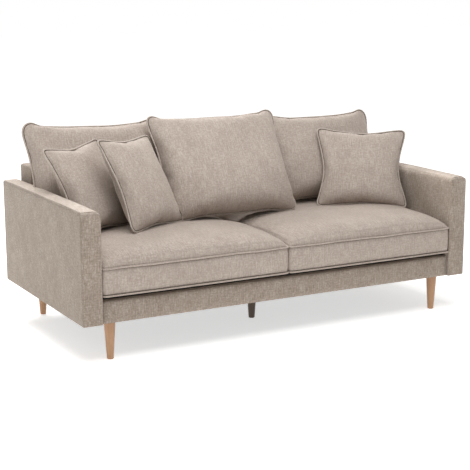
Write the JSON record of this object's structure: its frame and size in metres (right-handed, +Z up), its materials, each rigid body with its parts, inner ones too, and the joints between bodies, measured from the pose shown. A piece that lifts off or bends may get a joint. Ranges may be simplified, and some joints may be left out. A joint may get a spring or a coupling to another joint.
{
  "type": "sofa with wooden legs",
  "caption": "Slim track-arm fabric sofa with boxed seat cushions, loose knife-edge back cushions, piped scatter cushions and tapered wooden legs.",
  "frame": {"origin": "on the floor, under the middle of the sofa's outline", "axes": "+Z up, front of the seat at -Y, +X to the right of someone facing the sofa"},
  "size_m": [1.9, 0.946, 0.9023],
  "materials": {
    "upholstery": "matt woven chenille, warm greige",
    "cushion_fabric": "matt woven chenille, warm greige, with self piping",
    "cushion_filling": "calico-cased filling",
    "leg_wood": "satin oiled beech",
    "dark_leg_wood": "satin dark-stained beech",
    "bolt_steel": "zinc plated",
    "frame_timber": "sawn softwood",
    "spring_steel": "oil-tempered spring wire",
    "lining_cloth": "black non-woven cloth"
  },
  "bodies": {
    "frame": {"arm_cover_left": "upholstery", "arm_cover_right": "upholstery", "back_cover": "upholstery", "front_rail_cover": "upholstery", "leg_front_left": "leg_wood", "leg_front_right": "leg_wood", "leg_rear_left": "leg_wood", "leg_rear_right": "leg_wood", "leg_centre": "dark_leg_wood", "leg_bolt_front_left": "bolt_steel", "leg_bolt_front_right": "bolt_steel", "leg_bolt_rear_left": "bolt_steel", "leg_bolt_rear_right": "bolt_steel", "leg_bolt_centre": "bolt_steel", "front_rail": "frame_timber", "seat_rear_rail": "frame_timber", "side_rail_left": "frame_timber", "side_rail_right": "frame_timber", "centre_rail": "frame_timber", "back_bottom_rail": "frame_timber", "back_top_rail": "frame_timber", "back_post_left": "frame_timber", "back_post_centre": "frame_timber", "back_post_right": "frame_timber", "corner_block_front_left": "frame_timber", "corner_block_front_right": "frame_timber", "corner_block_rear_left": "frame_timber", "corner_block_rear_right": "frame_timber", "arm_post_front_left": "frame_timber", "arm_post_front_right": "frame_timber", "arm_post_rear_left": "frame_timber", "arm_post_rear_right": "frame_timber", "arm_top_rail_left": "frame_timber", "arm_top_rail_right": "frame_timber", "seat_spring_left_1": "spring_steel", "seat_spring_left_2": "spring_steel", "seat_spring_left_3": "spring_steel", "seat_spring_left_4": "spring_steel", "seat_spring_right_1": "spring_steel", "seat_spring_right_2": "spring_steel", "seat_spring_right_3": "spring_steel", "seat_spring_right_4": "spring_steel", "seat_deck_cloth": "lining_cloth", "dust_cover": "lining_cloth"},
    "seat_cushion_left": {"seat_cushion_cover_left": "cushion_fabric", "seat_cushion_insert_left": "cushion_filling"},
    "seat_cushion_right": {"seat_cushion_cover_right": "cushion_fabric", "seat_cushion_insert_right": "cushion_filling"},
    "back_cushion_left": {"back_cushion_left_cover": "cushion_fabric", "back_cushion_left_insert": "cushion_filling"},
    "back_cushion_centre": {"back_cushion_centre_cover": "cushion_fabric", "back_cushion_centre_insert": "cushion_filling"},
    "back_cushion_right": {"back_cushion_right_cover": "cushion_fabric", "back_cushion_right_insert": "cushion_filling"},
    "scatter_cushion_corner": {"scatter_cushion_corner_cover": "cushion_fabric", "scatter_cushion_corner_insert": "cushion_filling"},
    "scatter_cushion_left": {"scatter_cushion_left_cover": "cushion_fabric", "scatter_cushion_left_insert": "cushion_filling"},
    "scatter_cushion_right": {"scatter_cushion_right_cover": "cushion_fabric", "scatter_cushion_right_insert": "cushion_filling"}
  },
  "joints": [
    {"name": "seat_cushion_left_pull_out", "type": "slide", "parent": "frame", "child": "seat_cushion_left", "axis": [0, -1, 0], "range_m": [0, 0.6]},
    {"name": "seat_cushion_right_pull_out", "type": "slide", "parent": "frame", "child": "seat_cushion_right", "axis": [0, -1, 0], "range_m": [0, 0.6]},
    {"name": "back_cushion_left_lift", "type": "slide", "parent": "frame", "child": "back_cushion_left", "axis": [0, 0.3502, 0.9367], "range_m": [0, 0.5]},
    {"name": "back_cushion_centre_lift", "type": "slide", "parent": "frame", "child": "back_cushion_centre", "axis": [0, 0.3502, 0.9367], "range_m": [0, 0.5]},
    {"name": "back_cushion_right_lift", "type": "slide", "parent": "frame", "child": "back_cushion_right", "axis": [0, 0.3502, 0.9367], "range_m": [0, 0.5]},
    {"name": "scatter_cushion_corner_lift", "type": "slide", "parent": "frame", "child": "scatter_cushion_corner", "axis": [0, 0.3502, 0.9367], "range_m": [0, 0.5]},
    {"name": "scatter_cushion_left_lift", "type": "slide", "parent": "frame", "child": "scatter_cushion_left", "axis": [0, 0.3502, 0.9367], "range_m": [0, 0.5]},
    {"name": "scatter_cushion_right_lift", "type": "slide", "parent": "frame", "child": "scatter_cushion_right", "axis": [0, 0.3502, 0.9367], "range_m": [0, 0.5]}
  ]
}
